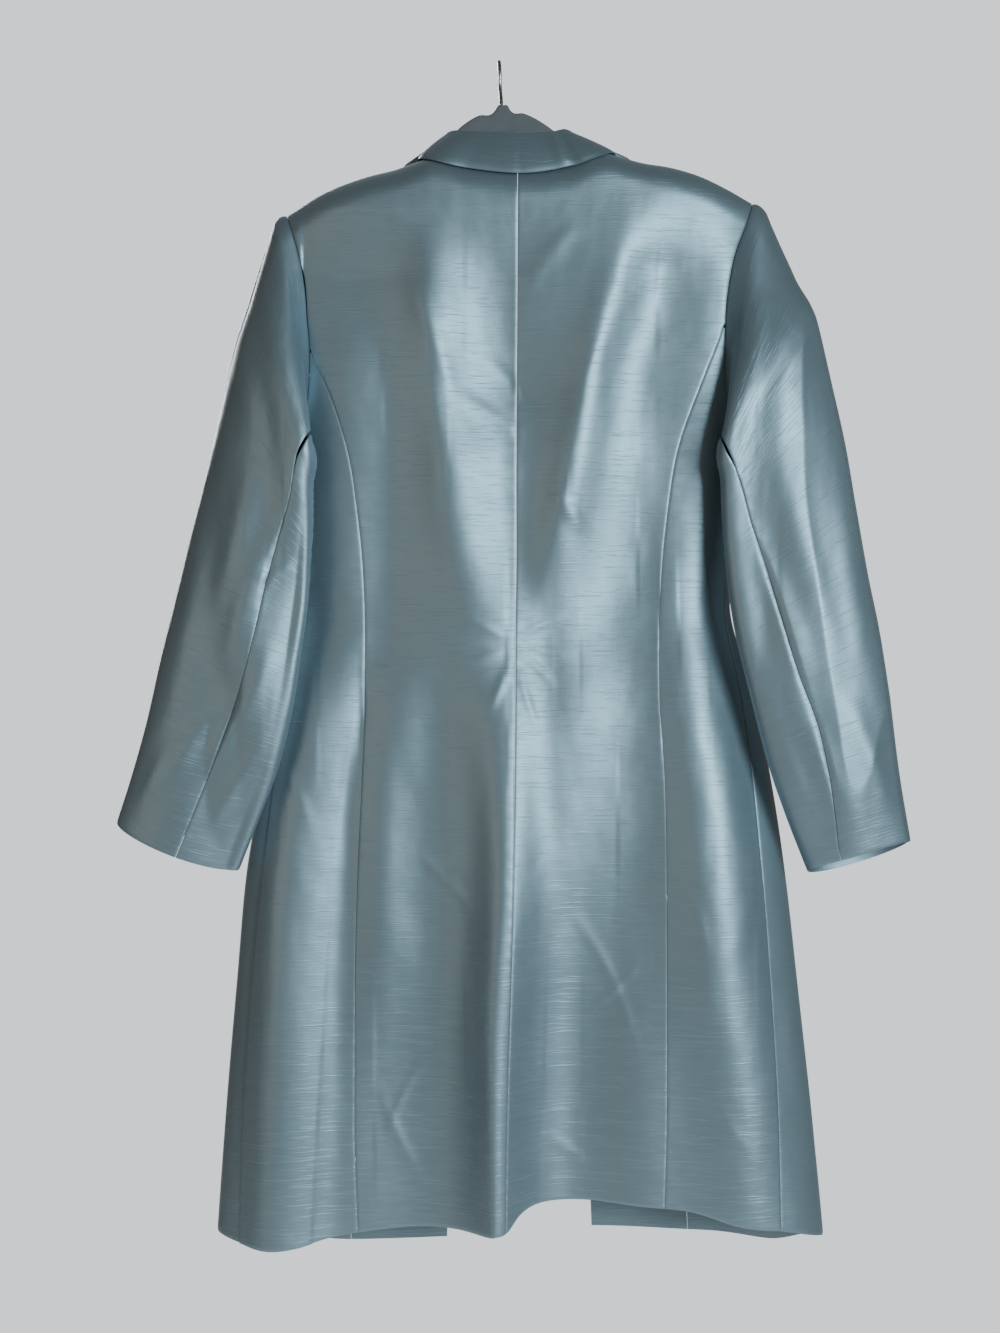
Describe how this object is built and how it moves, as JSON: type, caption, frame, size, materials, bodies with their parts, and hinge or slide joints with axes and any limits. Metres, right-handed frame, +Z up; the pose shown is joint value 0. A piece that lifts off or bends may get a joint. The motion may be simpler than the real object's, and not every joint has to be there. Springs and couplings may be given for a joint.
{
  "type": "duster blazer on a hanger",
  "caption": "Long open blazer of blue-grey silk shantung with princess seams and a flared skirt, hung by its back neck on a slim velvet hanger.",
  "frame": {"origin": "inside the top of the hanger's hook, where it rests on what carries it", "axes": "+Z up; +Y through the coat from its back to its open front, so the back faces -Y; +X to the right for someone who looks at the back"},
  "size_m": [0.6975, 0.1352, 1.0692],
  "materials": {
    "silk": "satin silk shantung with fine crosswise slubs",
    "velvet": "grey flocked velvet",
    "steel": "dark polished wire"
  },
  "bodies": {
    "root": {"back_left": "silk", "back_right": "silk", "collar": "silk", "front_left": "silk", "front_right": "silk", "hanger_body": "velvet", "hanger_hook": "steel", "lapel_left": "silk", "lapel_right": "silk", "side_back_left": "silk", "side_back_right": "silk", "side_front_left": "silk", "side_front_right": "silk", "under_sleeve_left": "silk", "under_sleeve_right": "silk", "upper_sleeve_left": "silk", "upper_sleeve_right": "silk"}
  },
  "joints": []
}
